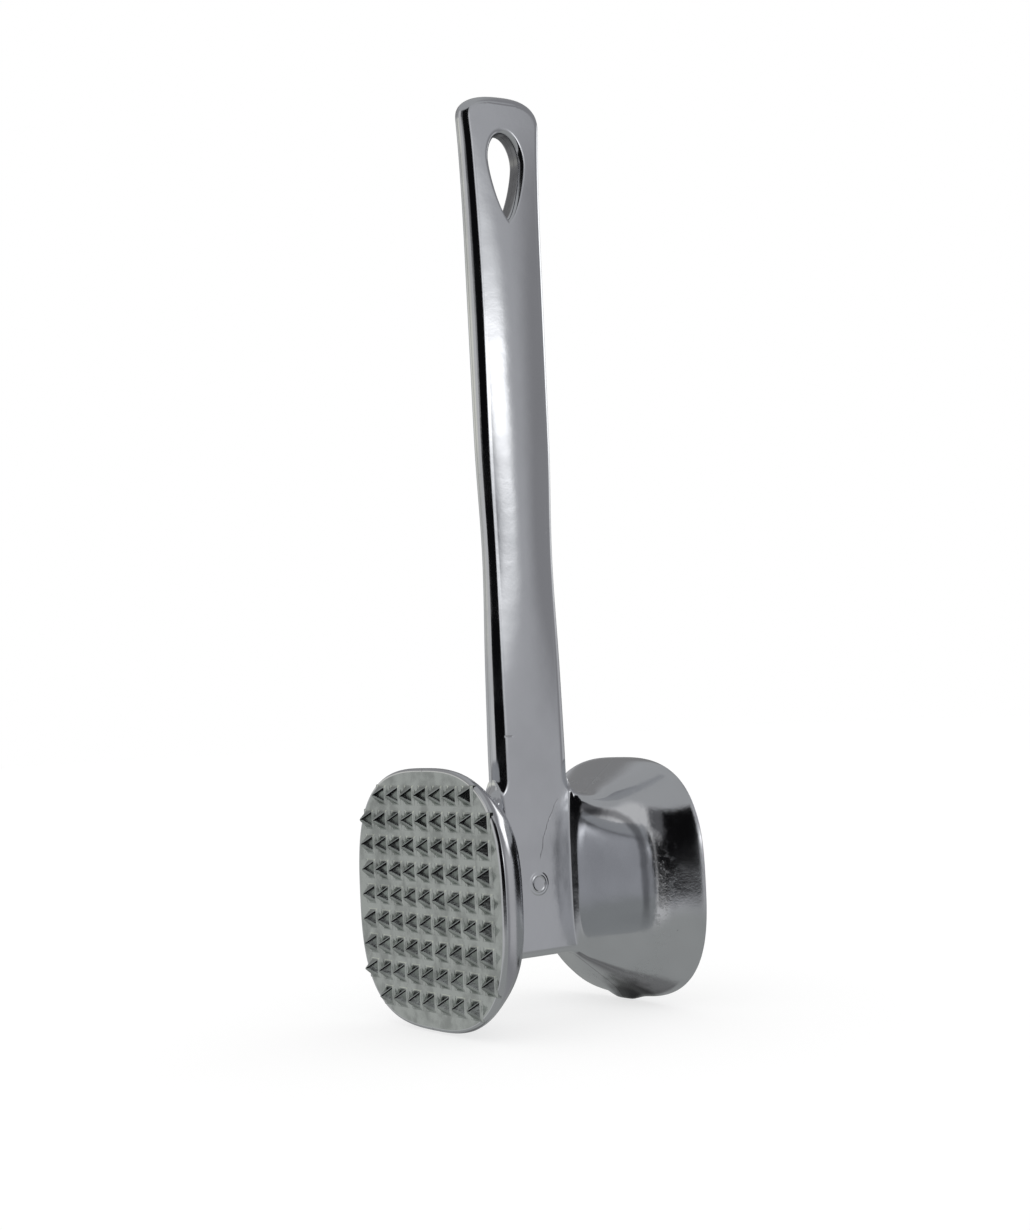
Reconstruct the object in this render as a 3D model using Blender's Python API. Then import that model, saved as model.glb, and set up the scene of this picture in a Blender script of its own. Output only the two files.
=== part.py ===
"""Two-faced die-cast meat mallet: flat handle with a hanging hole, two flared bells, toothed faces.

Lengths are in metres. The handle runs up +Z, the striking faces look along -X and +X, and the
casting's parting plane is y = 0. The origin is under the middle of the lowest point.
"""
import math

import bmesh
import bpy
import numpy as np
from mathutils import Vector

# Striking faces: a face is a rounded square, a superellipse of this squareness
face_half_width = 0.0321
fine_half_height = 0.0324
coarse_half_height = 0.03175
face_span = 0.0644
face_squareness = 2.85
root_squareness = 2.8
face_plate_depth = 0.0046

# Rounded edge of a face, then the rolled rim and the flare, which differ at broad sides and ends
face_edge_round = 0.0012
roll_side = 0.0160
roll_end = 0.0061
rim_slope = math.radians(15)
root_inset = 0.0003
root_fillet = 0.0030
valley_fillet = 0.0050
root_sink = 0.0001

# Slab that carries the handle on between the two bells
slab_half = 0.0034
slab_half_width = 0.0117
slab_bottom = 0.0180
slab_bottom_round = 0.0017
join_clearance = 0.00265

# Handle and slab stand nearer to the coarse face
handle_shift = 0.0009

# Handle sections from the head upwards: rise over the section below, half width,
# half thickness at the rounded narrow sides, extra half thickness in the middle
handle_sections = (
    (max(fine_half_height, coarse_half_height) + join_clearance, slab_half_width, slab_half, 0.0000),
    (0.0220, 0.0114, 0.0031, 0.0004),
    (0.0280, 0.0108, 0.0026, 0.0010),
    (0.0290, 0.0116, 0.0028, 0.0010),
    (0.0180, 0.0117, 0.0029, 0.0009),
    (0.0210, 0.0118, 0.0030, 0.0008),
    (0.0300, 0.0122, 0.0027, 0.0005),
    (0.0110, 0.0126, 0.0026, 0.0003),
    (0.0065, 0.0130, 0.0025, 0.0002),
)
handle_end_rise = 0.0075
handle_end_squareness = 2.55
handle_end_slope = 0.09
handle_end_tip_share = 0.25

# Hanging hole: a drop with its point down, its edges rounded towards both broad sides
hole_half = 0.0068
hole_rise = 0.0091
hole_drop = 0.0157
hole_below_top = 0.0177
hole_edge_round = 0.0014
hole_edge_turn = math.radians(68)
hole_point_sharpness = 1.8

# Teeth of the fine face, in a square grid without its corners
fine_pitch = 0.00635
fine_count = 9
fine_height = 0.0033
fine_foot_share = 0.40
fine_neck_share = 0.315

# Teeth of the coarse face
coarse_pitch = 0.0114
coarse_count = 5
coarse_height = 0.0052
coarse_foot_share = 0.44
coarse_neck_share = 0.38

tooth_neck_rise_share = 0.10
tooth_tip_share = 0.02
tooth_sink = 0.0008

# Stub of the casting gate under the rim of the coarse face
gate_half_width = 0.0075
gate_half_depth = 0.0022
gate_half_height = 0.0022
gate_hang = 0.0011
gate_behind_face = 0.0024

# Facets
section_points = 56
end_points = 9
section_step = 0.0055
roll_steps = 8
fillet_steps = 4
hole_points = 28
hole_edge_steps = 4
gate_rings = 8
weld_gap = 0.000001
crease_angle = math.radians(32)

# Bare aluminium
body_colour = (0.62, 0.65, 0.69)
body_roughness = 0.22
plate_colour = (0.55, 0.58, 0.56)
plate_roughness = 0.38

face_x = face_span / 2
centre_z = coarse_half_height + gate_hang
slab_join_z = handle_sections[0][0]
hub_half = slab_half_width + valley_fillet
root_depth = face_x - slab_half_width + root_inset
side_flare = (face_half_width, roll_side, slab_half - root_sink)
fine_end_flare = (fine_half_height, roll_end, slab_bottom - root_sink)
coarse_end_flare = (coarse_half_height, roll_end, slab_bottom - root_sink)


def handle_top():
    """Height of the handle's end over the head's centre."""
    return sum(row[0] for row in handle_sections) + handle_end_rise


def signed_power(value, power):
    return np.sign(value) * np.abs(value) ** power


def loft(name, rings):
    """Closed solid through rings that each have the same number of points."""
    mesh = bmesh.new()
    levels = [[mesh.verts.new(point) for point in ring] for ring in rings]
    mesh.faces.new(levels[0])
    mesh.faces.new(levels[-1])
    for lower, upper in zip(levels, levels[1:]):
        for i in range(len(lower)):
            j = (i + 1) % len(lower)
            mesh.faces.new((lower[i], lower[j], upper[j], upper[i]))
    bmesh.ops.triangulate(mesh, faces=mesh.faces)
    bmesh.ops.recalc_face_normals(mesh, faces=mesh.faces)
    data = bpy.data.meshes.new(name)
    mesh.to_mesh(data)
    mesh.free()
    body = bpy.data.objects.new(name, data)
    bpy.context.collection.objects.link(body)
    return body


def box(name, low, high):
    corners = [(low[0], low[1]), (high[0], low[1]), (high[0], high[1]), (low[0], high[1])]
    return loft(name, [[(x, y, z) for x, y in corners] for z in (low[2], high[2])])


def combined(body, other, operation):
    """Body after one exact boolean with the other, which is then removed."""
    step = body.modifiers.new(operation.lower(), "BOOLEAN")
    step.operation = operation
    step.solver = "EXACT"
    step.object = other
    bpy.context.view_layer.update()
    result = body.evaluated_get(bpy.context.evaluated_depsgraph_get())
    data = bpy.data.meshes.new_from_object(result)
    body.modifiers.clear()
    body.data = data
    bpy.data.objects.remove(other)
    return body


def placed(side, x):
    """Place of a distance from the handle's axis, moved less and less towards the faces."""
    return side * x + handle_shift * min(1, (face_x - x) / (face_x - slab_half_width))


def flat_oval(width, edge, crown, z):
    """Handle section: round narrow sides joined by slightly crowned broad sides."""
    reach = width - edge
    turns = np.linspace(-math.pi / 2, math.pi / 2, end_points)
    side = [(reach + edge * math.cos(a), edge * math.sin(a)) for a in turns]
    across = np.linspace(reach, -reach, end_points)[1:-1]
    top = [(x, edge + crown * (1 - (x / reach) ** 2)) for x in across]
    half = side + top
    return ([(handle_shift + x, y, z) for x, y in half]
            + [(handle_shift - x, -y, z) for x, y in half])


def smooth_sections(heights):
    """Handle sections between the given ones, by cubic curves without corners."""
    table = np.array(handle_sections)
    knots = np.cumsum(table[:, 0])
    values = table[:, 1:]
    slopes = np.gradient(values, knots, axis=0)
    k = np.clip(np.searchsorted(knots, heights, side="right") - 1, 0, len(knots) - 2)
    span = knots[k + 1] - knots[k]
    t = ((heights - knots[k]) / span)[:, None]
    span = span[:, None]
    return ((2 * t**3 - 3 * t**2 + 1) * values[k] + (t**3 - 2 * t**2 + t) * span * slopes[k]
            + (3 * t**2 - 2 * t**3) * values[k + 1] + (t**3 - t**2) * span * slopes[k + 1])


def handle_and_slab():
    knots = np.cumsum([row[0] for row in handle_sections])
    end_z = knots[-1]
    rings = []
    for a in np.linspace(0, math.pi / 2, fillet_steps + 1):
        edge = slab_half - slab_bottom_round * (1 - math.sin(a))
        z = -slab_bottom + slab_bottom_round * (1 - math.cos(a))
        rings.append(flat_oval(slab_half_width, edge, 0, centre_z + z))
    count = math.ceil((end_z - knots[0]) / section_step)
    heights = np.linspace(knots[0], end_z, count + 1)
    for z, (width, edge, crown) in zip(heights, smooth_sections(heights)):
        rings.append(flat_oval(width, edge, crown, centre_z + z))
    width, edge, crown = handle_sections[-1][1:]
    power = 2 / handle_end_squareness
    last_turn = math.acos(handle_end_tip_share ** (1 / power))
    for a in np.linspace(0, last_turn, end_points)[1:]:
        z = end_z + handle_end_rise * math.sin(a) ** power
        under = max(0, (z - (end_z + handle_end_rise - edge)) / edge)
        thin = edge * max(handle_end_tip_share, math.sqrt(max(0, 1 - under**2)))
        slope = handle_end_slope * math.sin(a) ** power
        rings.append([(x, y, height + slope * (x - handle_shift)) for x, y, height
                      in flat_oval(width * math.cos(a) ** power, thin, 0, centre_z + z)])
    return loft("casting", rings)


def flare_profile(flare):
    """Slope of the flare, middle of its roll, end of the roll and reach of the root fillet."""
    rim_half, roll, root = flare
    roll_depth = face_edge_round - roll * math.sin(rim_slope)
    roll_half = rim_half - roll * math.cos(rim_slope)
    run, fall = root_depth - roll_depth, root - roll_half
    slope = math.atan2(run, fall) - math.acos(roll / math.hypot(run, fall))
    turn_depth = roll_depth + roll * math.sin(slope)
    turn_half = roll_half + roll * math.cos(slope)
    return slope, roll_depth, roll_half, turn_depth, turn_half, root_fillet * math.tan(slope / 2)


def flare_half(depth, flare):
    """Half size of a bell at this depth behind its face: edge, roll, straight flare, root fillet."""
    rim_half, roll, root = flare
    slope, roll_depth, roll_half, turn_depth, turn_half, reach = flare_profile(flare)
    if depth < face_edge_round:
        return rim_half - face_edge_round * (1 - math.sqrt(1 - (1 - depth / face_edge_round) ** 2))
    if depth < turn_depth:
        return roll_half + math.sqrt(roll**2 - (depth - roll_depth) ** 2)
    if depth < root_depth - reach * math.cos(slope):
        return turn_half - (depth - turn_depth) * math.tan(slope)
    if depth < root_depth + reach:
        return root + root_fillet - math.sqrt(root_fillet**2 - (root_depth + reach - depth) ** 2)
    return root


def flare_depths(flare):
    """Depths behind the face at which a bell needs a section."""
    slope, roll_depth, _, _, _, reach = flare_profile(flare)
    edge = face_edge_round * np.linspace(0, 1, fillet_steps) ** 2
    turn = roll_depth + flare[1] * np.sin(np.linspace(rim_slope, slope, roll_steps))
    fillet = np.linspace(root_depth - reach * math.cos(slope), root_depth + reach, roll_steps)
    return np.concatenate([edge, turn, fillet])


def valley(x, top, flare):
    """Height of the bell's top with the fillet that turns up into the handle's narrow side."""
    slope, _, _, turn_depth, turn_half, _ = flare_profile(flare)
    foot = turn_half - (face_x - hub_half - turn_depth) * math.tan(slope)
    centre_top = foot + valley_fillet / math.cos(slope)
    away = hub_half - max(x, slab_half_width + valley_fillet / 12)
    if away < -valley_fillet * math.sin(slope):
        return top
    return centre_top - math.sqrt(valley_fillet**2 - away**2)


def bell(name, side, end_flare):
    inner_x = slab_half_width - slab_half - root_fillet
    depths = np.concatenate([flare_depths(side_flare), flare_depths(end_flare), [face_x - inner_x]])
    depths = np.sort(depths[depths <= face_x - inner_x])
    kept = [depths[0]]
    for depth in depths[1:]:
        if depth - kept[-1] > face_edge_round / 8:
            kept.append(depth)
    turns = np.linspace(0, 2 * math.pi, section_points, endpoint=False) + math.pi / section_points
    rings = []
    for depth in kept:
        x = face_x - depth
        across = flare_half(depth, side_flare)
        below = flare_half(depth, end_flare)
        above = valley(x, below, end_flare)
        share = depth / face_x
        power = 2 / (face_squareness + (root_squareness - face_squareness) * share)
        y = across * signed_power(np.cos(turns), power)
        z = signed_power(np.sin(turns), power)
        z = np.where(z > 0, z * above, z * below)
        rings.append([(placed(side, x), v, centre_z + w) for v, w in zip(y, z)])
    return loft(name, rings)


def drop_outline(grow):
    """Outline of the hanging hole around its widest height, grown by a margin."""
    turns = np.linspace(0, 2 * math.pi, hole_points, endpoint=False)
    down = np.sin(turns) < 0
    x = np.where(down, signed_power(np.cos(turns), hole_point_sharpness), np.cos(turns))
    drop = signed_power(np.sin(turns), 2 / hole_point_sharpness)
    z = np.where(down, (hole_drop + grow) * drop, (hole_rise + grow) * np.sin(turns))
    return (hole_half + grow) * x, z


def hole_tool():
    """Drop-shaped cutter that widens at both broad sides, so that the hole's edges are round."""
    middle_z = handle_top() - hole_below_top
    turns = np.linspace(0, hole_edge_turn, hole_edge_steps)
    half = [(math.sin(a) - 1, -math.cos(a)) for a in turns]
    half.append((math.sin(turns[-1]), math.tan(turns[-1]) - math.cos(turns[-1])))
    rings = []
    for side, steps in ((-1, half[::-1]), (1, half)):
        for lift, grow in steps:
            x, z = drop_outline(hole_edge_round * grow)
            width, edge, crown = smooth_sections(middle_z + z).T
            skin = edge + crown * (1 - (x / (width - edge)) ** 2)
            y = side * (skin + hole_edge_round * lift)
            rings.append(list(zip(handle_shift + x, y, centre_z + middle_z + z)))
    return loft("hole", rings)


def gate_stub():
    """Rounded stub that the gate left under the rim, at the parting plane."""
    mesh = bmesh.new()
    bmesh.ops.create_uvsphere(mesh, u_segments=2 * gate_rings, v_segments=gate_rings, radius=1)
    for vert in mesh.verts:
        vert.co = Vector((face_x - gate_behind_face + gate_half_depth * vert.co.x,
                          gate_half_width * vert.co.y,
                          gate_half_height * (1 + vert.co.z)))
    data = bpy.data.meshes.new("gate")
    mesh.to_mesh(data)
    mesh.free()
    stub = bpy.data.objects.new("gate", data)
    bpy.context.collection.objects.link(stub)
    return stub


def teeth(name, side, pitch, count, height, foot_share, neck_share):
    """Square pyramids on flared feet in a grid without its corners, sunk into the face."""
    mesh = bmesh.new()
    rises = ((-tooth_sink, foot_share), (0, foot_share), (tooth_neck_rise_share * height, neck_share),
             (height, tooth_tip_share))
    middle = (count - 1) / 2
    for row in range(count):
        for column in range(count):
            if row in (0, count - 1) and column in (0, count - 1):
                continue
            y = (column - middle) * pitch
            z = centre_z + (row - middle) * pitch
            levels = []
            for rise, share in rises:
                half = share * pitch
                x = side * (face_x + rise)
                levels.append([mesh.verts.new((x, y + half * u, z + half * v))
                               for u, v in ((-1, -1), (1, -1), (1, 1), (-1, 1))])
            mesh.faces.new(levels[0])
            mesh.faces.new(levels[-1])
            for lower, upper in zip(levels, levels[1:]):
                for i in range(len(lower)):
                    j = (i + 1) % len(lower)
                    mesh.faces.new((lower[i], lower[j], upper[j], upper[i]))
    bmesh.ops.recalc_face_normals(mesh, faces=mesh.faces)
    data = bpy.data.meshes.new(name)
    mesh.to_mesh(data)
    mesh.free()
    field = bpy.data.objects.new(name, data)
    bpy.context.collection.objects.link(field)
    return field


def region(casting, name, low, high):
    """The part of the casting inside a box, as its own closed node."""
    piece = casting.copy()
    piece.data = casting.data.copy()
    piece.name = name
    bpy.context.collection.objects.link(piece)
    return combined(piece, box(name + "_bounds", low, high), "INTERSECT")


def finish(piece, colour, roughness):
    material = bpy.data.materials.new(piece.name + "_aluminium")
    material.use_nodes = True
    shader = material.node_tree.nodes["Principled BSDF"]
    shader.inputs["Base Color"].default_value = (*colour, 1)
    shader.inputs["Metallic"].default_value = 1
    shader.inputs["Roughness"].default_value = roughness
    piece.data.materials.clear()
    piece.data.materials.append(material)
    mesh = bmesh.new()
    mesh.from_mesh(piece.data)
    bmesh.ops.remove_doubles(mesh, verts=mesh.verts, dist=weld_gap)
    bmesh.ops.dissolve_degenerate(mesh, dist=weld_gap, edges=mesh.edges)
    bmesh.ops.triangulate(mesh, faces=[f for f in mesh.faces if len(f.verts) > 4])
    for face in mesh.faces:
        face.smooth = True
    for edge in mesh.edges:
        edge.smooth = len(edge.link_faces) == 2 and edge.calc_face_angle(math.pi) < crease_angle
    mesh.to_mesh(piece.data)
    mesh.free()


def build():
    for old in list(bpy.data.objects):
        bpy.data.objects.remove(old)
    casting = handle_and_slab()
    for tool, operation in ((bell("fine", -1, fine_end_flare), "UNION"),
                            (bell("coarse", 1, coarse_end_flare), "UNION"),
                            (gate_stub(), "UNION"), (hole_tool(), "DIFFERENCE")):
        casting = combined(casting, tool, operation)

    far = face_span + handle_top()
    join_z = centre_z + slab_join_z
    plate_x = face_x - face_plate_depth
    hub_low, hub_high = placed(-1, hub_half), placed(1, hub_half)
    nodes = {
        "handle": region(casting, "handle", (-far, -far, join_z), (far, far, far)),
        "head_hub": region(casting, "head_hub", (hub_low, -far, -far), (hub_high, far, join_z)),
        "fine_bell": region(casting, "fine_bell", (-plate_x, -far, -far), (hub_low, far, join_z)),
        "coarse_bell": region(casting, "coarse_bell", (hub_high, -far, -far), (plate_x, far, join_z)),
        "fine_tooth_plate": region(casting, "fine_tooth_plate", (-far, -far, -far),
                                   (-plate_x, far, join_z)),
        "coarse_tooth_plate": region(casting, "coarse_tooth_plate", (plate_x, -far, -far),
                                     (far, far, join_z)),
    }
    bpy.data.objects.remove(casting)
    combined(nodes["fine_tooth_plate"], teeth("fine_teeth", -1, fine_pitch, fine_count, fine_height,
                                              fine_foot_share, fine_neck_share), "UNION")
    combined(nodes["coarse_tooth_plate"], teeth("coarse_teeth", 1, coarse_pitch, coarse_count,
                                                coarse_height, coarse_foot_share,
                                                coarse_neck_share), "UNION")
    for name, piece in nodes.items():
        plate = name.endswith("plate")
        finish(piece, plate_colour if plate else body_colour,
               plate_roughness if plate else body_roughness)


build()
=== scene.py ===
import math

import bpy
import numpy as np
from mathutils import Matrix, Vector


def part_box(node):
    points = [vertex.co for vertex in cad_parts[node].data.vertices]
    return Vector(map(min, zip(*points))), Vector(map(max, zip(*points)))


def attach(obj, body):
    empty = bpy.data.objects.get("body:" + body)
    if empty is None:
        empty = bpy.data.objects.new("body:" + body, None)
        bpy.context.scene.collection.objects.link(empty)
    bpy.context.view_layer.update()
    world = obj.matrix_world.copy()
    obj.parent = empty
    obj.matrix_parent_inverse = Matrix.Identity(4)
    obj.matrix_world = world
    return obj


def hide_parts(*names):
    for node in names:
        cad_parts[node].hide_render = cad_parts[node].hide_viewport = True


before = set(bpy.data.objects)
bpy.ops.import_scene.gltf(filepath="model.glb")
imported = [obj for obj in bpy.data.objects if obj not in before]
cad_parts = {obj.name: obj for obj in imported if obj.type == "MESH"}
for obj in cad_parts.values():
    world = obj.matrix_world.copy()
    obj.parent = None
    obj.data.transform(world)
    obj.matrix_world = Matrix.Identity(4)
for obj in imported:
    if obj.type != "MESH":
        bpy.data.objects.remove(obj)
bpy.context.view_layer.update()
plateLow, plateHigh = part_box("fine_tooth_plate")
headHeight = (plateLow[2] + plateHigh[2]) / 2

handleShape = {
    # height over the head's middle, half width, half thickness at the narrow sides, extra in the middle
    "sections": ((35.05, 11.7, 3.4, 0.0), (57.05, 11.4, 3.1, 0.4), (85.05, 10.8, 2.6, 1.0),
                 (114.05, 11.6, 2.8, 1.0), (132.05, 11.7, 2.9, 0.9), (153.05, 11.8, 3.0, 0.8),
                 (183.05, 12.2, 2.7, 0.5), (194.05, 12.6, 2.6, 0.3), (200.55, 13.0, 2.5, 0.2)),
    "endRise": 7.5, "endPower": 2.55, "endSlope": 0.09, "endBlend": 6.0,  # domed end, leaning in x
    "foot": 5.0, "seam": 0.67,  # fillet into the bells' tops, and the share of it that the bells carry
    "shift": 0.9, "shiftBlend": 0.1,  # how far the casting's middle stands off the faces' middle
    "flatColumns": 22, "edgeColumns": 18, "rowStep": 1.3, "footRows": 26, "gapRows": 5, "endRows": 40,
    "footAbove": 1.0,  # closer rows go on this far over the fillet
    "edgeMost": 0.6, "holeMost": 0.98,  # most of the width that the rounded edge and the hole may take
}
endZ, endWidth = handleShape["sections"][-1][:2]
topZ = endZ + handleShape["endRise"]
slabHalfWidth, slabHalf = handleShape["sections"][0][1:3]


def smoothMax(a, b, k):
    # larger of a and b, plus h*h*k/4 near where they meet: h falls from 1 to 0 as they part by k
    h = np.clip(k - np.abs(a - b), 0, None) / np.maximum(k, 1e-9)
    return np.maximum(a, b) + h * h * k / 4


def sectionAt(z):
    # half width, edge and crown at height z: cubic Hermite curve through the table, level past its ends
    table = np.array(handleShape["sections"])
    knots, values = table[:, 0], table[:, 1:]
    slopes = np.gradient(values, knots, axis=0)
    z = np.clip(z, knots[0], knots[-1])
    i = np.clip(np.searchsorted(knots, z, side="right") - 1, 0, len(knots) - 2)
    span = (knots[i + 1] - knots[i])[..., None]
    t = (z - knots[i])[..., None] / span
    both = ((2 * t**3 - 3 * t**2 + 1) * values[i] + (t**3 - 2 * t**2 + t) * span * slopes[i]
            + (3 * t**2 - 2 * t**3) * values[i + 1] + (t**3 - t**2) * span * slopes[i + 1])
    return both[..., 0], both[..., 1], both[..., 2]


slabShape = {"bottom": 18.0, "bottomRound": 2.3, "bottomPower": 2.5, "bottomFillet": 1.6}
bellShape = {
    "coarseWidth": 31.86, "coarseHeight": 31.6, "fineWidth": 32.05, "fineHeight": 32.4,  # half sizes
    "faceX": 32.2, "facePower": 2.85, "rootPower": 2.8,  # flat of a face, powers of its superellipse
    "fineEdge": 1.0, "coarseEdge": 0.6,  # round edge of a face
    "rollSide": 16.0, "rollEnd": 6.1, "rollFrom": 1.2, "rimSlope": math.radians(17),
    "rootInset": 0.3, "fillet": 3.3,
    "ringPoints": 170, "ringStep": 0.55, "ringSamples": 1500, "edgeRows": 14,
}
footX = slabHalfWidth + handleShape["foot"]
rootDepth = bellShape["faceX"] - slabHalfWidth + bellShape["rootInset"]


def flareLine(rim, roll, root):
    # the roll is an arc of this radius that leaves the rim at rimSlope and touches the line to the root:
    # slope = angle of the line from the arc's middle to the root, less acos(roll / its length)
    start, rimSlope = bellShape["rollFrom"], bellShape["rimSlope"]
    arcDepth = start + (start - roll) * math.sin(rimSlope)
    arcHalf = rim - start + (start - roll) * math.cos(rimSlope)
    run, fall = rootDepth - arcDepth, root - arcHalf
    slope = math.atan2(run, fall) - math.acos(roll / math.hypot(run, fall))
    return slope, arcDepth, arcHalf, arcDepth + roll * math.sin(slope), arcHalf + roll * math.cos(slope)


def edgeMiddle(rim, roll, root, edge):
    # the face's round edge touches the roll's arc from inside: height of its middle, and depth of the touch
    _, arcDepth, arcHalf, _, _ = flareLine(rim, roll, root)
    middle = arcHalf + np.sqrt((roll - edge) ** 2 - (edge - arcDepth) ** 2)
    return middle, arcDepth + roll * (edge - arcDepth) / (roll - edge)


def bellHalf(x, rim, roll, root):
    # half size of a bell at x: circle of the face's edge, circle of the roll, then a line to the root
    slope, arcDepth, arcHalf, turnDepth, turnHalf = flareLine(rim, roll, root)
    depth = bellShape["faceX"] - np.abs(x)
    edge = np.where(np.asarray(x) < 0, bellShape["fineEdge"], bellShape["coarseEdge"])
    middle, touch = edgeMiddle(rim, roll, root, edge)
    rounded = middle + np.sqrt(np.clip(edge**2 - (edge - depth) ** 2, 0, None))
    turn = arcHalf + np.sqrt(np.clip(roll**2 - (depth - arcDepth) ** 2, 0, None))
    flare = np.where(depth < turnDepth, turn, turnHalf - (depth - turnDepth) * math.tan(slope))
    return np.where(depth < touch, rounded, flare)


def fineGrowth(x, target, rim, roll, root):
    # what the fine bell grows, as the square of the way to its face, so that its rim reaches the target
    reached = edgeMiddle(rim, roll, root, bellShape["fineEdge"])[0] + bellShape["fineEdge"]
    share = np.clip((np.abs(x) - footX) / (bellShape["faceX"] - footX), 0, 1)
    return np.where(np.asarray(x) < 0, (target - reached) * share**2, 0)


sideBell = (bellShape["coarseWidth"], bellShape["rollSide"], slabHalf)
endBell = (bellShape["coarseHeight"], bellShape["rollEnd"], slabShape["bottom"])
endSlope, _, _, endTurnDepth, endTurnHalf = flareLine(*endBell)
footZ = (endTurnHalf - (bellShape["faceX"] - footX - endTurnDepth) * math.tan(endSlope)
         + handleShape["foot"] / math.cos(endSlope))


def bellTop(x):
    # the bell's half height, and below it a circle of radius foot that turns up into the narrow side
    foot = handleShape["foot"]
    away = np.clip(footX - np.abs(x), -foot, foot * 0.9999)
    curve = footZ - np.sqrt(foot**2 - away**2)
    plain = np.where(away < -foot * math.sin(endSlope), bellHalf(x, *endBell), np.minimum(curve, footZ))
    return plain + fineGrowth(x, bellShape["fineHeight"], *endBell)


def bellBottom(x):
    # rounded larger of the slab's bottom and the bell's half height
    plain = bellHalf(x, *endBell)
    grown = fineGrowth(x, bellShape["fineHeight"], *endBell)
    return smoothMax(np.full_like(plain, slabShape["bottom"]), plain, slabShape["bottomFillet"]) + grown


def handleWidth(z):
    # half width from the table, plus foot less the circle's height where it widens into the bells' tops
    foot = handleShape["foot"]
    away = np.clip(footZ - z, 0, foot)
    return sectionAt(z)[0] + foot - np.sqrt(np.clip(foot**2 - away**2, 0, None))


def endDistance(x, z):
    # distance inside the domed end, a superellipse: one less its radius, over the radius's gradient
    rise, power = handleShape["endRise"], handleShape["endPower"]
    a = np.abs(x) / endWidth
    q = np.clip((z - endZ) / rise, 0, None)
    rho = np.maximum((a**power + q**power) ** (1 / power), 1e-6)
    slopeX = (a / rho) ** (power - 1) / endWidth
    slopeZ = (q / rho) ** (power - 1) / rise
    return np.clip(1 - rho, 0, None) / np.hypot(slopeX, slopeZ)


def halfThickness(x, z):
    # half thickness of the casting at (x, z): rounded larger of the slab and the flares
    # slab: quarter circle of the edge's radius, then a parabolic crown, rounded off at the head's bottom
    # flare: half width of the bell at x times a superellipse in z over its half height there
    x, z = np.broadcast_arrays(np.asarray(x, float), np.asarray(z, float))
    _, edge, crown = sectionAt(z)
    width = handleWidth(z)
    inside, ends = width - np.abs(x), endDistance(x, z)
    near = z > endZ - handleShape["endBlend"]
    inside = np.where(z > endZ, ends, np.where(near, np.minimum(inside, ends), inside))
    roll = np.sqrt(np.clip(edge**2 - np.clip(edge - inside, 0, edge)**2, 0, None))
    reach = np.maximum(width - edge, 1)
    slab = roll + np.where(inside > edge, crown * (1 - np.clip(np.abs(x) / reach, 0, 1)**2), 0)
    bottom = bellBottom(x)
    low = np.clip((slabShape["bottomRound"] - (z + bottom)) / slabShape["bottomRound"], 0, 1)
    slab = slab * (1 - low**slabShape["bottomPower"]) ** (1 / slabShape["bottomPower"])
    share = np.clip(1 - np.abs(x) / bellShape["faceX"], 0, 1)
    power = bellShape["facePower"] + (bellShape["rootPower"] - bellShape["facePower"]) * share
    height = np.where(z > 0, bellTop(x), bottom)
    oval = np.clip(1 - np.clip(np.abs(z) / height, 0, 1) ** power, 0, 1) ** (1 / power)
    flare = (bellHalf(x, *sideBell) + fineGrowth(x, bellShape["fineWidth"], *sideBell)) * oval
    return smoothMax(slab, flare, bellShape["fillet"] * oval)


holeShape = {"half": 6.55, "rise": 9.0, "drop": 17.0, "belowTop": 17.8, "edge": 1.6, "power": 1.45,
             "rows": 44, "wallSteps": 9}


def dropOutline(a, grow):
    # hanging hole at angle a, from -90 to 90 degrees: half ellipse above (cos a, sin a), and below a
    # pointed drop (cos a to a power, sin a to two over that power)
    low = np.sin(a) < 0
    x = np.where(low, np.abs(np.cos(a)) ** holeShape["power"], np.cos(a)) * (holeShape["half"] + grow)
    z = np.where(low, -(holeShape["drop"] + grow) * np.abs(np.sin(a)) ** (2 / holeShape["power"]),
                 (holeShape["rise"] + grow) * np.sin(a))
    return x, z + topZ - holeShape["belowTop"]


points, quads, owners = [], [], []


def gridQuads(rows, columns, first, flip):
    # corner numbers of the quads between neighbouring rows and columns, turned round where flip is set
    index = first + np.arange(rows * columns).reshape(rows, columns)
    corners = [index[:-1, :-1], index[:-1, 1:], index[1:, 1:], index[1:, :-1]]
    return np.stack([c.ravel() for c in (corners[::-1] if flip else corners)], -1)


def addGrid(x, y, z, owner, flip=False):
    # one grid of the skin; x moves by shift in the middle of the casting, fading to none at the faces
    share = (np.abs(x) - slabHalfWidth) / (bellShape["faceX"] - slabHalfWidth)
    moved = x + handleShape["shift"] * (1 - smoothMax(share, 0, handleShape["shiftBlend"]))
    quad = gridQuads(*x.shape, sum(len(p) for p in points), flip)
    points.append(np.stack([moved, y, z], -1).reshape(-1, 3))
    quads.append(quad)
    owners.extend([owner] * len(quad))


seamX = footX - handleShape["foot"] * handleShape["seam"]  # where handle, hub and bells meet
seamZ = float(bellTop(np.array([seamX]))[0])


def columnsAt(z, inner):
    # x of the columns for rows z: even steps from inner to the rounded edge, then sines of even angles
    width = np.where(z <= seamZ + 1e-9, seamX, handleWidth(z))
    rise, power = handleShape["endRise"], handleShape["endPower"]
    q = np.clip((z - endZ) / rise, 0, 1)
    width = width * (1 - q**power) ** (1 / power)
    edge = np.minimum(sectionAt(z)[1], width * handleShape["edgeMost"])
    flat = np.linspace(0, 1, handleShape["flatColumns"] + 1)
    turn = np.sin(np.linspace(0, math.pi / 2, handleShape["edgeColumns"] + 1))[1:]
    reach = width - edge
    inner = np.minimum(inner, reach * handleShape["holeMost"])
    near = inner[:, None] + (reach - inner)[:, None] * flat
    far = reach[:, None] + edge[:, None] * turn
    return np.hstack([near, far])


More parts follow.
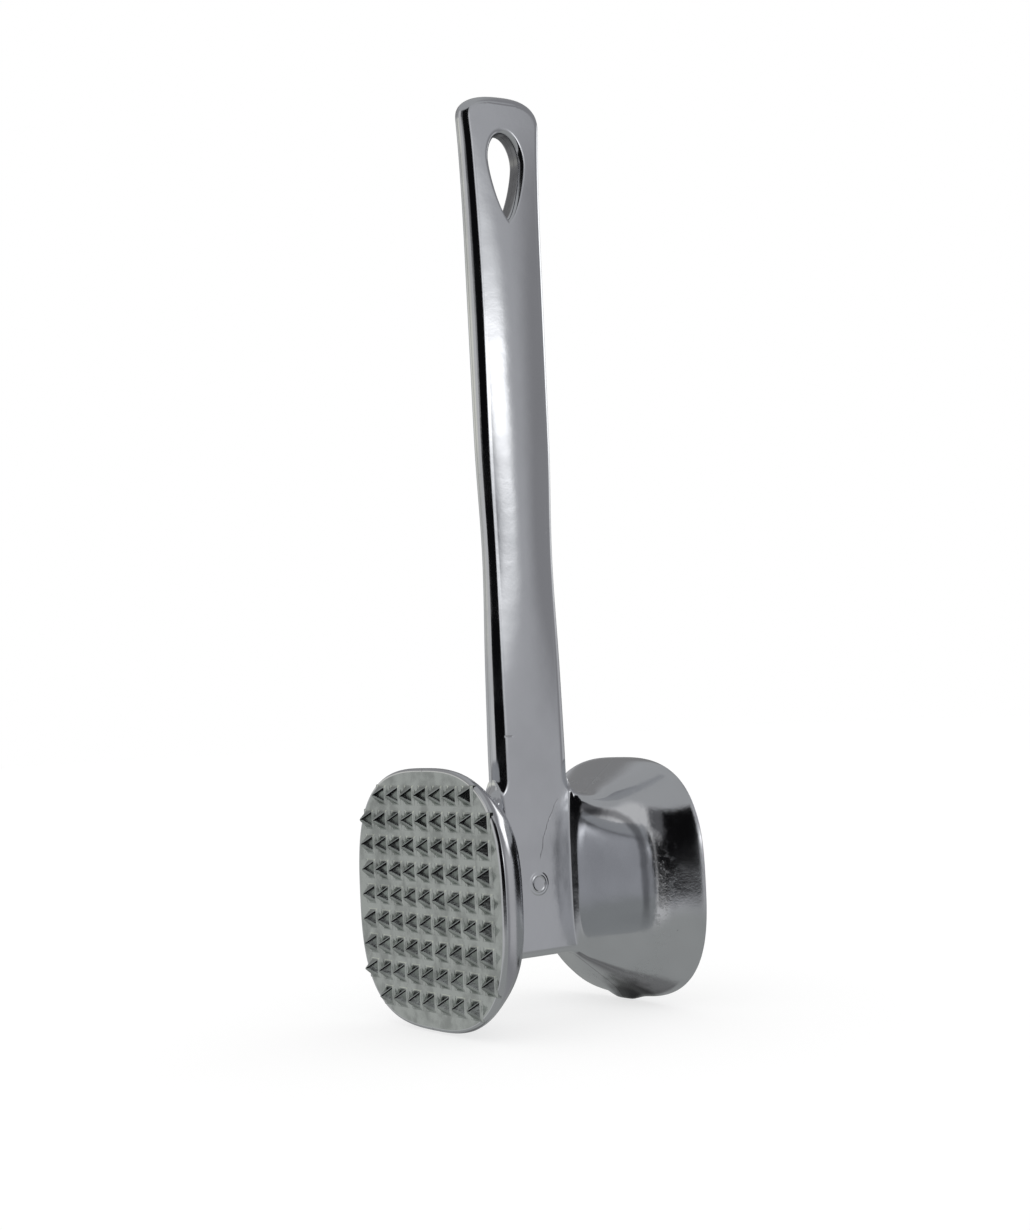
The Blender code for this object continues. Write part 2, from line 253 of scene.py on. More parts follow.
def buildHandle():
    # y = halfThickness over rows from the seam to the domed end, which leans by endSlope times x
    a = np.linspace(-math.pi / 2, math.pi / 2, holeShape["rows"] + 1)
    a = math.pi / 2 * np.sin(a)
    holeX, holeZ = dropOutline(a, 0)
    closeZ, plainRows = footZ + handleShape["footAbove"], int((holeZ[0] - footZ) / handleShape["rowStep"])
    lower = np.concatenate([np.linspace(seamZ, closeZ, handleShape["footRows"])[:-1],
                            np.linspace(closeZ, holeZ[0], plainRows)[:-1]])
    turns = np.linspace(0, math.pi / 2, handleShape["endRows"])[1:]
    upper = np.concatenate([np.linspace(holeZ[-1], endZ, handleShape["gapRows"])[1:],
                            endZ + handleShape["endRise"] * np.sin(turns) ** (2 / handleShape["endPower"])])
    z = np.concatenate([lower, holeZ, upper])
    inner = np.concatenate([np.zeros(len(lower)), holeX, np.zeros(len(upper))])
    x = columnsAt(z, inner)
    z = np.repeat(z[:, None], x.shape[1], 1)
    y = halfThickness(x, z)
    y[:, -1] = 0
    y[-1] = 0
    lean = handleShape["endSlope"] * np.clip((z - endZ) / handleShape["endRise"], 0, 1)
    for side in (-1, 1):
        for face in (-1, 1):
            addGrid(side * x, face * y, z + lean * side * x, "handle", flip=side * face > 0)
    # wall of the hole: quarter circles of radius edge at both broad sides, straight between them
    edge = holeShape["edge"]
    turns = np.linspace(0, math.pi / 2, holeShape["wallSteps"])
    rimY = y[len(lower):len(lower) + len(a), 0]
    wall = [(*dropOutline(a, -edge * math.sin(t)), rimY - edge * (1 - math.cos(t))) for t in turns]
    wallX, wallZ, wallY = (np.array([row[i] for row in wall]) for i in range(3))
    wallX, wallZ = np.vstack([wallX, wallX[::-1]]), np.vstack([wallZ, wallZ[::-1]])
    wallY = np.vstack([-wallY, wallY[::-1]])
    for side in (-1, 1):
        addGrid(side * wallX, wallY, wallZ, "handle", flip=side < 0)


def ringHalf(x, top):
    # one profile at x from its top to its bottom: y = halfThickness, on heights packed at both ends
    bottom = -bellBottom(np.array([x]))[0]
    t = (1 - np.cos(np.linspace(0, math.pi, bellShape["ringSamples"]))) / 2
    t = t * t * (3 - 2 * t)
    z = top + (bottom - top) * t
    y = halfThickness(np.full_like(z, x), z)
    y[-1] = 0
    return y, z


def spaced(y, z, count):
    # count points at even steps of length along the profile
    length = np.concatenate([[0], np.cumsum(np.hypot(np.diff(y), np.diff(z)))])
    s = np.linspace(0, length[-1], count)
    return np.interp(s, length, y), np.interp(s, length, z)


gateMark = {"behind": 2.4, "halfWidth": 7.5, "halfDepth": 2.2, "hang": 1.3, "across": 0.72}


def buildHead():
    # profiles at each x, from the middle of the slab out to the rims; gives back the two innermost rings
    count = bellShape["ringPoints"]
    columns = columnsAt(np.array([seamZ]), np.array([0.0]))[0]
    hubY, hubZ = np.array([spaced(*ringHalf(x, seamZ), count) for x in columns]).transpose(1, 0, 2)
    hubY[-1, 0] = 0
    hubX = np.repeat(columns[:, None], count, 1)
    for side in (-1, 1):
        for half in (-1, 1):
            addGrid(side * hubX, half * hubY, hubZ, "hub", flip=side * half > 0)
    face = bellShape["faceX"]
    rings = {}
    for side, owner in ((-1, "fineBell"), (1, "coarseBell")):
        edge = bellShape["fineEdge" if side < 0 else "coarseEdge"]
        body = np.linspace(seamX, face - edge, int((face - edge - seamX) / bellShape["ringStep"]))
        turns = np.linspace(0, math.pi / 2, bellShape["edgeRows"])[1:]
        xs = np.concatenate([body, face - edge + edge * np.sin(turns)])
        tops = np.append(seamZ, bellTop(side * xs[1:]))
        y, z = np.array([spaced(*ringHalf(side * a, top), count)
                         for a, top in zip(xs, tops)]).transpose(1, 0, 2)
        y[:, 0] = y[:, -1] = 0
        x = np.repeat(side * xs[:, None], count, 1)
        if side > 0:
            # rounded stub of the casting gate under the rim: hang times a bell curve along and across
            along = np.exp(-(((x - face + gateMark["behind"]) / gateMark["halfDepth"]) ** 2))
            across = np.exp(-((y / (gateMark["across"] * gateMark["halfWidth"])) ** 4))
            z = z - gateMark["hang"] * along * across * (z < 0)
        for half in (-1, 1):
            addGrid(x, half * y, z, owner, flip=side * half > 0)
        rings[side] = y[-1], z[-1]
    return rings


pinMark = {"acrossX": -0.6, "height": 0.9, "radius": 2.05, "width": 0.40, "rise": 0.075, "dip": 0.04,
           "secondRadius": 2.75, "secondRise": 0.03, "fadeTurn": 0.4, "fadeAdd": 0.3,
           "spread": 0.5, "secondSpread": 0.4, "hem": 0.9, "lift": 0.006, "sink": 0.002,
           "rings": 44, "turns": 73}


def buildPinMark():
    # ring left by an ejector pin, laid on the slab: bell curves of r at two radii, less a dip inside them
    radius, width = pinMark["radius"], pinMark["width"]
    outer = pinMark["secondRadius"] + width
    r = np.linspace(0, outer, pinMark["rings"])[:, None]
    a = np.linspace(0, 2 * math.pi, pinMark["turns"])[None, :]
    x = pinMark["acrossX"] + r * np.cos(a)
    z = pinMark["height"] + r * np.sin(a)
    spread, secondSpread = pinMark["spread"] * width, pinMark["secondSpread"] * width
    ridge = pinMark["rise"] * np.exp(-(((r - radius) / spread) ** 2))
    second = pinMark["secondRise"] * np.exp(-(((r - pinMark["secondRadius"]) / secondSpread) ** 2))
    # the outer ridge fades away round one side
    ridge = ridge + second * np.clip(pinMark["fadeAdd"] + np.cos(a + pinMark["fadeTurn"]), 0, 1)
    dip = pinMark["dip"] * np.clip(1 - (r / (radius - spread)) ** 4, 0, 1)
    lift = pinMark["lift"] + pinMark["dip"] + ridge - dip
    lift = lift * np.clip((outer - r) / (pinMark["hem"] * width), 0, 1) - pinMark["sink"]
    addGrid(x, -(halfThickness(x, z) + lift), z, "hub", flip=True)


def weldSkin():
    # one point per place, and there the unit sum of the normals (cross products) of all faces that meet
    place = np.concatenate(points)
    _, first, index = np.unique(np.round(place, 4), axis=0, return_index=True, return_inverse=True)
    place = place[first]
    face = index.ravel()[np.concatenate(quads)]
    a, b, c, d = (place[face[:, i]] for i in range(4))
    normal = np.cross(c - a, d - b)
    total = np.zeros_like(place)
    for i in range(4):
        np.add.at(total, face[:, i], normal)
    length = np.linalg.norm(total, axis=1, keepdims=True)
    return place, face, total / np.maximum(length, 1e-12), np.linalg.norm(normal, axis=1)


def makeMesh(name, place, face, normals=None):
    # metres = millimetres / 1000, raised by headHeight; a quad with a doubled corner becomes a triangle
    used, index = np.unique(face.ravel(), return_inverse=True)
    face = index.reshape(face.shape)
    doubled = face == np.roll(face, 1, axis=1)
    folded = doubled.sum(1) == 1
    triangles = face[folded][~doubled[folded]].reshape(-1, 3)
    data = bpy.data.meshes.new(name)
    world = place[used] / 1000 + np.array([0, 0, headHeight])
    data.from_pydata(world.tolist(), [], face[~doubled.any(1)].tolist() + triangles.tolist())
    data.polygons.foreach_set("use_smooth", np.ones(len(data.polygons), bool))
    if normals is not None:
        data.normals_split_custom_set_from_vertices(normals[used].tolist())
    data.update()
    body = bpy.data.objects.new(name, data)
    bpy.context.collection.objects.link(body)
    return body


# neck, foot, tip and lean are in pitches; neckY and neckZ are half sizes of a tooth where its foot begins
fineTeeth = {"pitch": 6.35, "count": 9, "height": 3.28, "neckY": 0.218, "neckZ": 0.325, "foot": 0.405,
             "footRise": 0.06, "ridge": 26, "tip": 0.010, "grid": 26, "shiftY": -0.2, "shiftZ": 0.15,
             "wear": 0.05, "lean": 0.012, "skirt": 0.8, "seed": 4}
coarseTeeth = {"pitch": 11.4, "count": 5, "height": 5.1, "neckY": 0.375, "neckZ": 0.375, "foot": 0.435,
               "footRise": 0.10, "ridge": 18, "tip": 0.012, "grid": 44, "shiftY": 0.0, "shiftZ": 0.0,
               "wear": 0.04, "lean": 0.012, "skirt": 0.9, "seed": 9}
# rings of the flat plate, grid past the foot, grid inside the neck, and how a foot ends in the plate
toothSeat = {"rings": 22, "border": 1.06, "inside": 0.31, "proud": 0.012, "under": 0.03}
# how wear blunts a tip, and how it shortens a tooth
toothWear = {"spread": 4, "blunts": 3, "shortens": 0.4}


def toothHeight(u, v, shape, wear):
    # u and v in pitches; a = superellipse radius over the neck, whose tip is rounded as sqrt(a*a + tip*tip)
    # pyramid: height falls with a down to the neck; foot: the square of the rest of the way out
    power = shape["ridge"]
    a = (np.abs(u / shape["neckY"]) ** power + np.abs(v / shape["neckZ"]) ** power) ** (1 / power)
    a = np.sqrt(a * a + (shape["tip"] * (1 + toothWear["blunts"] * wear) / shape["neckZ"]) ** 2)
    b = np.maximum((np.abs(u) ** power + np.abs(v) ** power) ** (1 / power), 1e-6)
    high, low = shape["height"], shape["height"] * shape["footRise"]
    ahead = np.maximum(a * shape["foot"] / b, 1.01)
    t = np.clip((ahead - a) / (ahead - 1), 0, 1)
    return np.where(a < 1, high - (high - low) * a, low * t * t)


def linesAcross(neck, half, count):
    # grid lines across a tooth: even inside its neck, so that ridges fall on them, and even outside
    inside = np.linspace(-neck, neck, 2 * round(count * toothSeat["inside"]) + 1)
    outside = np.linspace(neck, half, (count - len(inside) + 1) // 2 + 1)[1:]
    return np.concatenate([-outside[::-1], inside, outside])


def buildTeeth(name, side, shape, ring):
    # flat plate, x = faceX, in rings that shrink evenly to the middle; on it x = faceX + toothHeight over a
    # small grid at every pitch but the four corners, each tooth with its own wear and lean
    random = np.random.default_rng(shape["seed"])
    place, face = [], []

    def patch(x, y, z):
        face.append(gridQuads(*x.shape, sum(len(p) for p in place), side < 0))
        place.append(np.stack([side * x, y, z], -1).reshape(-1, 3))

    faceX, pitch, last = bellShape["faceX"], shape["pitch"], shape["count"] - 1
    outY = np.concatenate([ring[0], -ring[0][::-1][1:]])
    outZ = np.concatenate([ring[1], ring[1][::-1][1:]])
    shares = np.linspace(0, 1, toothSeat["rings"])[:, None]
    patch(np.full((len(shares), len(outY)), faceX), outY * shares, outZ * shares)
    half = shape["foot"] * toothSeat["border"]
    u, v = np.meshgrid(linesAcross(shape["neckY"], half, shape["grid"]),
                       linesAcross(shape["neckZ"], half, shape["grid"]))
    # the pyramid and the strips of its foot share no points, so the crease between them stays sharp
    border = (u[0] < -shape["neckY"] - 1e-6).sum()
    whole, inside = slice(None), slice(border, -border)
    low, high = slice(0, border + 1), slice(-border - 1, None)
    parts = ((inside, inside), (whole, low), (whole, high), (low, inside), (high, inside))
    for row in range(last + 1):
        for column in range(last + 1):
            if row in (0, last) and column in (0, last):
                continue
            wear = abs(random.normal(0, 1)) * shape["wear"] * toothWear["spread"]
            lean = random.normal(0, shape["lean"], 2)
            tall = toothHeight(u, v, shape, wear)
            tall = tall * (1 - abs(random.normal(0, shape["wear"] * toothWear["shortens"])))
            rise = tall / shape["height"]
            y = ((column - last / 2) + u + lean[0] * rise) * pitch + shape["shiftY"]
            z = ((row - last / 2) + v + lean[1] * rise) * pitch + shape["shiftZ"]
            x = faceX + tall + np.where(tall > 0, toothSeat["proud"], -toothSeat["under"])
            x[[0, -1]] = x[:, [0, -1]] = faceX - shape["skirt"]
            for rows, columns in parts:
                patch(x[rows, columns], y[rows, columns], z[rows, columns])
    return makeMesh(name, np.concatenate(place), np.concatenate(face))


class Socket:
    # a shader socket; Python's operators on it add Math nodes
    def __init__(self, tree, out):
        self.tree, self.out = tree, out

    def math(self, operation, other=0.0):
        return node(self.tree, "ShaderNodeMath", [self, other], operation=operation)

    def __add__(self, other):
        return self.math("ADD", other)

    def __sub__(self, other):
        return self.math("SUBTRACT", other)

    def __mul__(self, other):
        return self.math("MULTIPLY", other)

    def __pow__(self, other):
        return self.math("POWER", other)

    def __abs__(self):
        return self.math("ABSOLUTE")

    def __rsub__(self, other):
        return node(self.tree, "ShaderNodeMath", [other, self], operation="SUBTRACT")

    __radd__, __rmul__ = __add__, __mul__

    def clamped(self, low, high):
        # 0 at low and 1 at high, with t*t*(3 - 2*t) between them
        return node(self.tree, "ShaderNodeMapRange", [self, low, high, 0.0, 1.0],
                    interpolation_type="SMOOTHSTEP")

    def between(self, low, high, soft):
        # 1 between low and high, with soft ends
        return self.clamped(low - soft, low + soft) * self.clamped(high + soft, high - soft)

    def beside(self, name):
        # another output of the same node
        return Socket(self.tree, self.out.node.outputs[name])


def node(tree, kind, inputs=(), out=0, **settings):
    # a node of this kind with its settings, then the values or links of its sockets; gives its output
    made = tree.nodes.new(kind)
    for key, value in settings.items():
        setattr(made, key, value)
    pairs = inputs.items() if isinstance(inputs, dict) else enumerate(inputs)
    for key, value in pairs:
        if isinstance(value, Socket):
            tree.links.new(value.out, made.inputs[key])
        else:
            made.inputs[key].default_value = value
    return Socket(tree, made.outputs[out]) if len(made.outputs) else None


def noise(tree, place, scale, detail=2.0, roughness=0.5):
    # fractal noise from 0 to 1; scale is in waves a metre
    return node(tree, "ShaderNodeTexNoise",
                {"Vector": place, "Scale": scale, "Detail": detail, "Roughness": roughness})


def distance(tree, place, spot):
    # length of place - spot, in metres
    return node(tree, "ShaderNodeVectorMath", [place, spot], out=1, operation="DISTANCE")


def mixColour(tree, share, first, second):
    # first * (1 - share) + second * share
    first, second = (c if isinstance(c, Socket) else (*c, 1) for c in (first, second))
    return node(tree, "ShaderNodeMix", {0: share, 6: first, 7: second}, out=2, data_type="RGBA")


def newTree(name):
    # an empty material and its node tree
    material = bpy.data.materials.new(name)
    material.use_nodes = True
    material.node_tree.nodes.clear()
    return material, material.node_tree


def finishMetal(tree, colour, rough, height, strength):
    # bare metal whose height bends the normal by a Bump node
    bump = node(tree, "ShaderNodeBump", {"Strength": strength, "Distance": 0.001, "Height": height})
    shader = node(tree, "ShaderNodeBsdfPrincipled",
                  {"Base Color": colour, "Metallic": 1.0, "Roughness": rough, "Normal": bump})
    node(tree, "ShaderNodeOutputMaterial", [shader])


def weighted(masks, weights, base):
    # base plus each mask times its weight
    for name, weight in weights.items():
        base = base + masks[name] * weight
    return base


castingLook = {
    "metal": (0.735, 0.745, 0.772), "cloudTone": 0.9, "cloudShare": 0.5, "bump": 0.55, "rough": 0.06,
    # noises: waves a metre, detail and, where given, roughness
    "wide": (55.0, 2.0), "mid": (330.0, 3.0), "fine": (1500.0, 3.0, 0.6), "wander": (260.0, 3.0),
    "spots": (130.0, 2.0), "grain": (1400.0, 4.0, 0.7), "haze": (700.0, 4.0, 0.7), "pits": 420.0,
    # where each pattern begins and where it is full
    "cloudCut": (0.42, 0.72), "pitsCut": (0.10, 0.03), "spotsCut": (0.60, 0.72), "hazeCut": (0.50, 0.64),
    # colour of each mark and how much of it shows
    "tints": {"pits": ((0.12, 0.12, 0.13), 0.8), "line": ((0.25, 0.26, 0.27), 0.35),
              "scratch": ((0.10, 0.10, 0.11), 0.45), "notch": ((0.10, 0.10, 0.11), 0.3),
              # tints of the fold round a flare's web (painted shade, partly dirt) and under the far rim at
              # the gate (painted shade)
              "creaseShadeAndDirt": ((0.10, 0.10, 0.11), 0.6), "gateShade": ((0.03, 0.03, 0.032), 0.9),
              # tint of the hanging hole's wall: painted shade inside the hole
              "wallPaintedShade": ((0.20, 0.20, 0.21), 1.0)},
    "roughBy": {"cloud": 0.09, "mid": 0.06, "line": 0.12, "pits": 0.2, "haze": 0.2, "wall": 0.12},
    "heightBy": {"mid": 0.035, "fine": 0.006, "line": 0.05, "pits": -0.05, "grain": 0.03,
                 "scratch": -0.03, "notch": -0.12}, "wideHeight": 0.26,
}
# marks of the casting and painted shade, in metres, heights over the head's middle; half and core bound a
# line's soft edge
frontSoft = 0.0005
scratchMark = {"top": 0.022, "bottom": 0.0075, "soft": 0.001, "from": 0.00735, "bend": 16.08,
               "slope": 0.1988, "start": 0.00115, "wander": 0.0016, "half": 0.00014, "core": 0.00003}
notchMark = {"height": 0.039, "left": -0.0082, "right": -0.0060, "soft": 0.0003, "half": 0.0003,
             "core": 0.0001, "wander": 0.2}
# painted shade of the fold round a flare's flat web, partly dirt in it
creaseShadeMark = {"webFrom": 0.0125, "webWidth": 0.0081, "webHeight": 0.0183, "power": 5.0, "half": 0.085,
              "core": 0.015, "fade": 0.0025, "footLow": -0.014, "footHigh": -0.002, "ragged": 0.05}
# painted shade under the far rim, around the casting gate
gateShadeMark = {"at": (0.0275, -0.006, headHeight - 0.0325), "radius": 0.0115, "core": 0.0045,
             "ragged": 0.006}
# painted shade inside the hanging hole, where the wall is also rougher
holeWall = {"drop": 3.5, "radius": 0.0145, "core": 0.0135, "depth": 0.0023, "full": 0.0015,
           "left": -0.0066, "right": 0.0084, "soft": 0.0003, "tone": 0.55, "toneBy": 0.5}
partingLine = {"half": 0.00032, "core": 0.00005, "ragged": 0.0002}
mottledSkin = {"from": 0.019, "full": 0.023, "hazeTo": 0.028, "hazeFull": 0.021, "hazeLeast": 0.1}


def polishedCasting():
    # metal with dull clouds, pits and marks: each mark is a mask from 0 to 1 that mixes in its
    # tint, and the roughness and the height are weighted sums of the noises and the masks
    material, tree = newTree("polishedCasting")
    place = node(tree, "ShaderNodeTexCoord", out=3)
    look = castingLook
    wide, mid, fine = (noise(tree, place, *look[name]) for name in ("wide", "mid", "fine"))
    along = node(tree, "ShaderNodeSeparateXYZ", [place])
    across, up = along.beside("Y"), along.beside("Z") - headHeight
    front = across.clamped(frontSoft, -frontSoft)
    # curved scratch down the front of the slab: a parabola of the height
    mark = scratchMark
    down = up - mark["from"]
    path = down * down * mark["bend"] + down * mark["slope"] + mark["start"]
    wander = (noise(tree, place, *look["wander"]) - 0.5) * mark["wander"]
    scratch = abs(along - path + wander).clamped(mark["half"], mark["core"])
    scratch = scratch * up.between(mark["bottom"], mark["top"], mark["soft"]) * front
    # short notch in the handle's edge
    mark = notchMark
    notch = abs(up - mark["height"] + wander * mark["wander"]).clamped(mark["half"], mark["core"])
    notch = notch * along.between(mark["left"], mark["right"], mark["soft"]) * front
    # dark line around the flat web of a flare, painted shade of the fold there and partly dirt in it: a
    # superellipse in x and z, fading at its foot
    mark = creaseShadeMark
    webX = ((abs(along) - mark["webFrom"]).math("MAXIMUM") * (1 / mark["webWidth"])) ** mark["power"]
    webZ = (abs(up) * (1 / mark["webHeight"])) ** mark["power"]
    web = (webX + webZ) ** (1 / mark["power"]) + (mid - 0.5) * mark["ragged"]
    creaseShadeAndDirt = abs(web - 1.0).clamped(mark["half"], mark["core"])
    creaseShadeAndDirt = creaseShadeAndDirt * abs(along).clamped(mark["webFrom"], mark["webFrom"] + mark["fade"])
    creaseShadeAndDirt = creaseShadeAndDirt * up.clamped(mark["footLow"], mark["footHigh"])
    # painted shade around the casting gate: the dark reflection under the far rim, painted into the colour
    mark = gateShadeMark
    gateShade = distance(tree, place, mark["at"]) + (mid - 0.5) * mark["ragged"]
    gateShade = gateShade.clamped(mark["radius"], mark["core"])
    # wall of the hanging hole, near its middle and away from the broad sides: painted shade inside the hole
    # darkens its colour, and the wall is rougher
    mark = holeWall
    middleZ = headHeight + (topZ - holeShape["belowTop"] - mark["drop"]) / 1000
    wall = distance(tree, place, (handleShape["shift"] / 1000, 0.0, middleZ))
    wall = wall.clamped(mark["radius"], mark["core"]) * abs(across).clamped(mark["depth"], mark["full"])
    wall = wall * along.between(mark["left"], mark["right"], mark["soft"])
    # thin raised line at the parting plane, pits in patches, dull clouds
    mark = partingLine
    line = abs(across + (mid - 0.5) * mark["ragged"]).clamped(mark["half"], mark["core"])
    pits = node(tree, "ShaderNodeTexVoronoi", {"Vector": place, "Scale": look["pits"]})
    pits = pits.clamped(*look["pitsCut"])
    pits = pits * noise(tree, place, *look["spots"]).clamped(*look["spotsCut"])
    cloud = wide.clamped(*look["cloudCut"])
    # the far bell's skin is mottled, so that reflections break up there
    mark = mottledSkin
    mottled = along.clamped(mark["from"], mark["full"])
    grain = noise(tree, place, *look["grain"]) * mottled
    haze = noise(tree, place, *look["haze"]).clamped(*look["hazeCut"]) * mottled
    haze = haze * (along.clamped(mark["hazeTo"], mark["hazeFull"]) * (1 - mark["hazeLeast"])
                   + mark["hazeLeast"])
    masks = {"mid": mid, "fine": fine, "cloud": cloud, "pits": pits, "line": line, "scratch": scratch,
             "notch": notch, "creaseShadeAndDirt": creaseShadeAndDirt, "gateShade": gateShade, "wall": wall, "grain": grain, "haze": haze,
             "wallPaintedShade": wall * (mid * holeWall["toneBy"] + holeWall["tone"])}
    colour = mixColour(tree, cloud * look["cloudShare"], look["metal"],
                       [c * look["cloudTone"] for c in look["metal"]])
    for name, (tint, share) in look["tints"].items():
        colour = mixColour(tree, masks[name] * share, colour, tint)
    rough = weighted(masks, look["roughBy"], look["rough"])
    height = weighted(masks, look["heightBy"], wide * look["wideHeight"])
    finishMetal(tree, colour, rough, height, look["bump"])
    return material


faceLook = {
    "metal": (0.60, 0.63, 0.61), "darkTone": 0.72, "bump": 0.6, "rough": 0.0,
    "mid": (260.0, 3.0), "fine": (1500.0, 4.0, 0.65), "darkCut": (0.40, 0.70),
    "roughBy": {"mid": 0.16, "fine": 0.10}, "heightBy": {"fine": 0.03}, "midHeight": 0.08,
}
nickMark = {"at": (-0.0330, -0.0185, headHeight + 0.005), "radius": 0.0013, "core": 0.0007,
            "ragged": 0.0030, "tint": (0.02, 0.02, 0.02), "share": 0.9}


def castFace():
    # greyer metal, mottled by noise, with a nick between two teeth of the fine face
    material, tree = newTree("castFace")
    place = node(tree, "ShaderNodeTexCoord", out=3)
    look, mark = faceLook, nickMark
    masks = {name: noise(tree, place, *look[name]) for name in ("mid", "fine")}
    colour = mixColour(tree, masks["mid"].clamped(*look["darkCut"]), look["metal"],
                       [c * look["darkTone"] for c in look["metal"]])
    nick = distance(tree, place, mark["at"]) + (masks["fine"] - 0.5) * mark["ragged"]
    nick = nick.clamped(mark["radius"], mark["core"])
    colour = mixColour(tree, nick * mark["share"], colour, mark["tint"])
    rough = weighted(masks, look["roughBy"], look["rough"])
    height = weighted(masks, look["heightBy"], masks["mid"] * look["midHeight"])
    finishMetal(tree, colour, rough, height, look["bump"])
    return material


buildHandle()
rings = buildHead()
buildPinMark()
place, face, normals, areas = weldSkin()
owners = np.array(owners)
kept = areas > 1e-9
print("skin points", len(place), "faces", len(face))
metal, rough = polishedCasting(), castFace()
for owner, name, cadNode in (("handle", "handleSkin", "handle"), ("hub", "hubSkin", "head_hub"),
                             ("fineBell", "fineBellSkin", "fine_bell"),
                             ("coarseBell", "coarseBellSkin", "coarse_bell")):
    body = makeMesh(name, place, face[(owners == owner) & kept], normals)
    body.data.materials.append(metal)
    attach(body, "root")
    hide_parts(cadNode)
for name, side, shape, cadNode in (("fineFace", -1, fineTeeth, "fine_tooth_plate"),
                                   ("coarseFace", 1, coarseTeeth, "coarse_tooth_plate")):
    body = buildTeeth(name, side, shape, rings[side])
    body.data.materials.append(rough)
    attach(body, "root")
    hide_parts(cadNode)
print("pieces made")

# light zones of the room: azimuth from -Y towards +X, elevation, softness (degrees), colour, level
roomZones = {
    "table": ((-181, 181), (-91, -13), 5, (0.97, 1.0, 0.98), 0.32),
    "tableBehind": ((100, 181), (-91, -13), 8, (0.97, 1.0, 0.98), 0.30),
    "shadeBehind": ((150, 181), (-80, -40), 8, (1.0, 1.0, 1.0), 0.15),
    "shadeLeft": ((-181, -156), (-80, -46), 8, (1.0, 1.0, 1.0), 0.15),
    "ceiling": ((-181, 181), (40, 91), 8, (0.97, 0.99, 1.0), 0.38),
    "wallBehind": ((120, 181), (18, 46), 6, (1.0, 1.0, 1.0), 0.24),
    "leftWall": ((-115, -60), (-15, 40), 6, (1.0, 1.0, 1.0), 0.55),
    "behindLeft": ((-181, -115), (-20, 2), 5, (1.0, 1.01, 1.0), 0.48),
    "brightLeft": ((-181, -112), (5, 16), 4, (1.02, 1.02, 0.93), 0.70),
    "highLeft": ((-181, -115), (17, 46), 4, (1.0, 1.0, 1.0), 0.32),
    "rightWall": ((44, 120), (-30, 60), 9, (1.0, 1.0, 1.04), 0.25),
    "nearRight": ((68, 108), (-16, 8), 5, (1.0, 1.0, 1.02), 0.44),
    "darkEdge": ((118, 150), (-14, 12), 8, (1.0, 1.0, 1.04), 0.10),
    "rightLamp": ((83, 116), (6, 19), 3.5, (1.0, 1.0, 1.0), 1.5),
    "darkRoom": ((-66, 9), (-8.5, 41), 3, (1.0, 1.0, 1.1), 0.004),
    "darkDoor": ((-80, -60), (-8.5, 10), 3, (1.0, 1.0, 1.1), 0.004),
    "dimDoor": ((-82, -60), (13, 41), 4, (1.0, 1.0, 1.05), 0.10),
    "windowGlow": ((11, 30), (2, 16), 5, (0.97, 0.98, 1.0), 0.60),
    "windowStrip": ((14, 27), (4, 18), 5, (0.98, 0.99, 1.0), 0.88),
    "windowPane": ((14, 27), (7.6, 11.9), 3, (1.0, 1.0, 1.0), 1.9),
}
stageLook = {"white": 1.0, "room": (0.975, 0.985, 1.015), "roomLevel": 0.42, "floorColour": 0.35,
             "floorGlow": 0.70, "floorHalf": 4.0}


def tinted(colour, level):
    # colour times level
    return [c * level for c in colour]


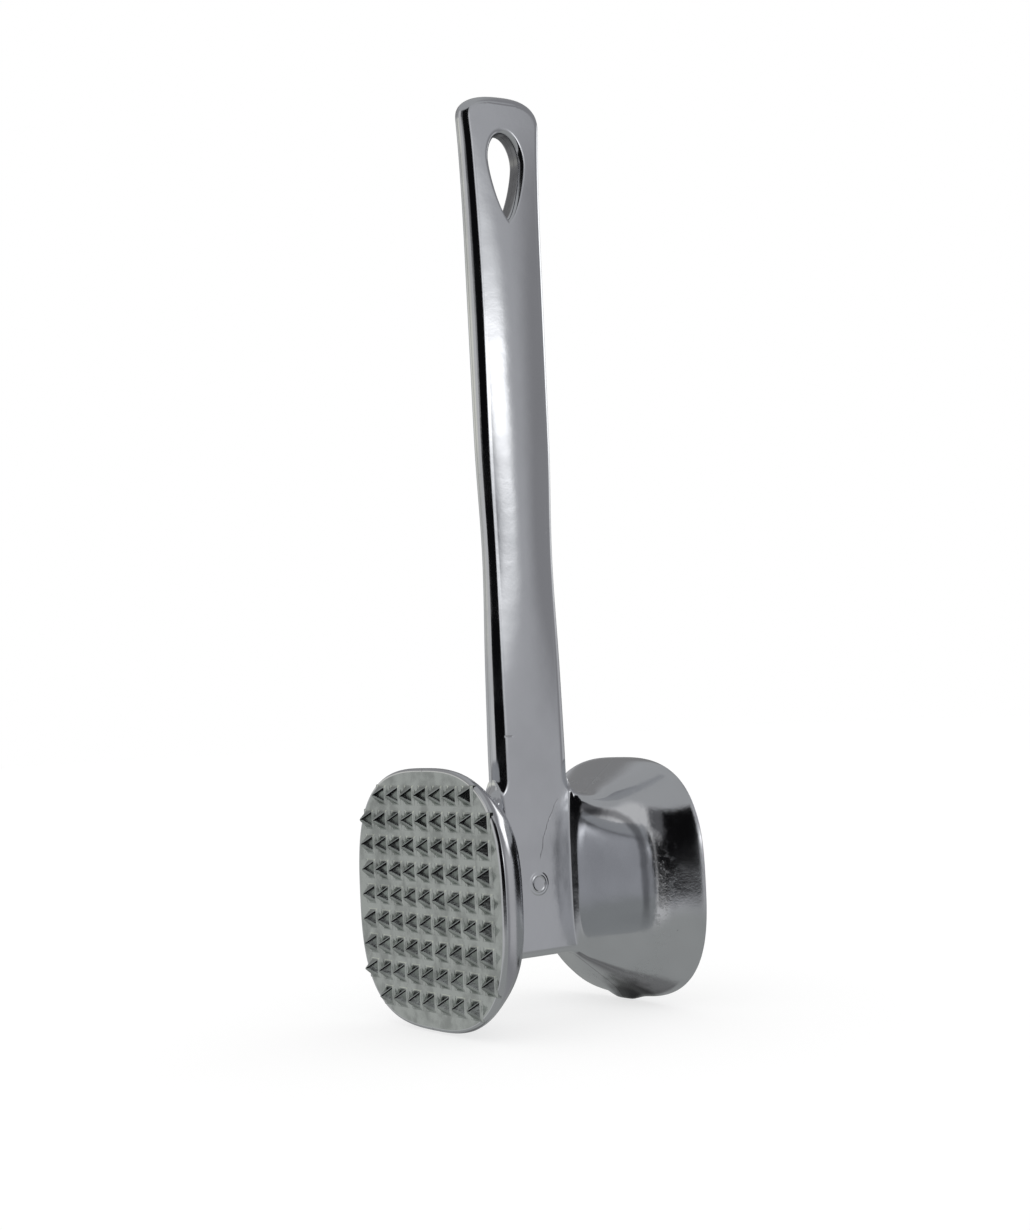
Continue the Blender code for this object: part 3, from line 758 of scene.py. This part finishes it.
def buildRoom():
    # white to camera and diffuse rays; other rays see the zones, each mixed in where the ray's azimuth
    # atan2(x, -y) and elevation asin(z) lie inside it
    world = bpy.data.worlds.new("room")
    bpy.context.scene.world = world
    world.use_nodes = True
    tree = world.node_tree
    tree.nodes.clear()
    camera = node(tree, "ShaderNodeLightPath", out="Is Camera Ray")
    seen = camera.math("MAXIMUM", camera.beside("Is Diffuse Ray"))
    white = node(tree, "ShaderNodeBackground", [(1, 1, 1, 1), stageLook["white"]])
    aheadX = node(tree, "ShaderNodeSeparateXYZ", [node(tree, "ShaderNodeTexCoord")])
    turn = aheadX.math("ARCTAN2", aheadX.beside("Y") * -1.0) * (180 / math.pi)
    rise = aheadX.beside("Z").math("ARCSINE") * (180 / math.pi)
    light = tinted(stageLook["room"], stageLook["roomLevel"])
    for turns, rises, soft, colour, level in roomZones.values():
        share = turn.between(*turns, soft) * rise.between(*rises, soft)
        light = mixColour(tree, share, light, tinted(colour, level))
    room = node(tree, "ShaderNodeBackground", [light, 1.0])
    both = node(tree, "ShaderNodeMixShader", [seen, room, white])
    node(tree, "ShaderNodeOutputWorld", [both])


def buildFloor():
    # pale paper that keeps a soft shadow; a glow lifts it to white for the camera
    half = stageLook["floorHalf"]
    data = bpy.data.meshes.new("floor")
    corners = [(-half, -half, 0), (half, -half, 0), (half, half, 0), (-half, half, 0)]
    data.from_pydata(corners, [], [(0, 1, 2, 3)])
    floor = bpy.data.objects.new("floor", data)
    bpy.context.collection.objects.link(floor)
    material, tree = newTree("palePaper")
    glow = node(tree, "ShaderNodeLightPath", out="Is Camera Ray") * stageLook["floorGlow"]
    glow = node(tree, "ShaderNodeEmission", [(1, 1, 1, 1), glow])
    paper = node(tree, "ShaderNodeBsdfDiffuse", {"Color": (*[stageLook["floorColour"]] * 3, 1)})
    node(tree, "ShaderNodeOutputMaterial", [node(tree, "ShaderNodeAddShader", [glow, paper])])
    data.materials.append(material)
    floor.visible_glossy = False
    return floor


buildRoom()
floor = buildFloor()
print("room made")

# camera fitted to the photograph; its place is in metres from the middle of the head
cameraView = {"focalPixels": 1750, "framePixels": 1030, "sensor": 36, "near": 0.01, "far": 20,
              "right": (0.79877, -0.5998, -0.04696), "up": (0.00356, -0.07334, 0.9973),
              "back": (-0.60162, -0.79678, -0.05645), "where": (-0.27512, -0.36331, 0.04465)}
lens = bpy.data.cameras.new("camera")
lens.sensor_fit, lens.sensor_width = "HORIZONTAL", cameraView["sensor"]
lens.lens = cameraView["focalPixels"] * cameraView["sensor"] / cameraView["framePixels"]
lens.clip_start, lens.clip_end = cameraView["near"], cameraView["far"]
camera = bpy.data.objects.new("camera", lens)
bpy.context.collection.objects.link(camera)
sides = np.array([cameraView[key] for key in ("right", "up", "back", "where")]).T
sides[2, 3] += headHeight
camera.matrix_world = Matrix([*sides.tolist(), (0, 0, 0, 1)])
bpy.context.scene.camera = camera
bpy.context.scene.view_settings.view_transform = "Standard"

print("stage made")
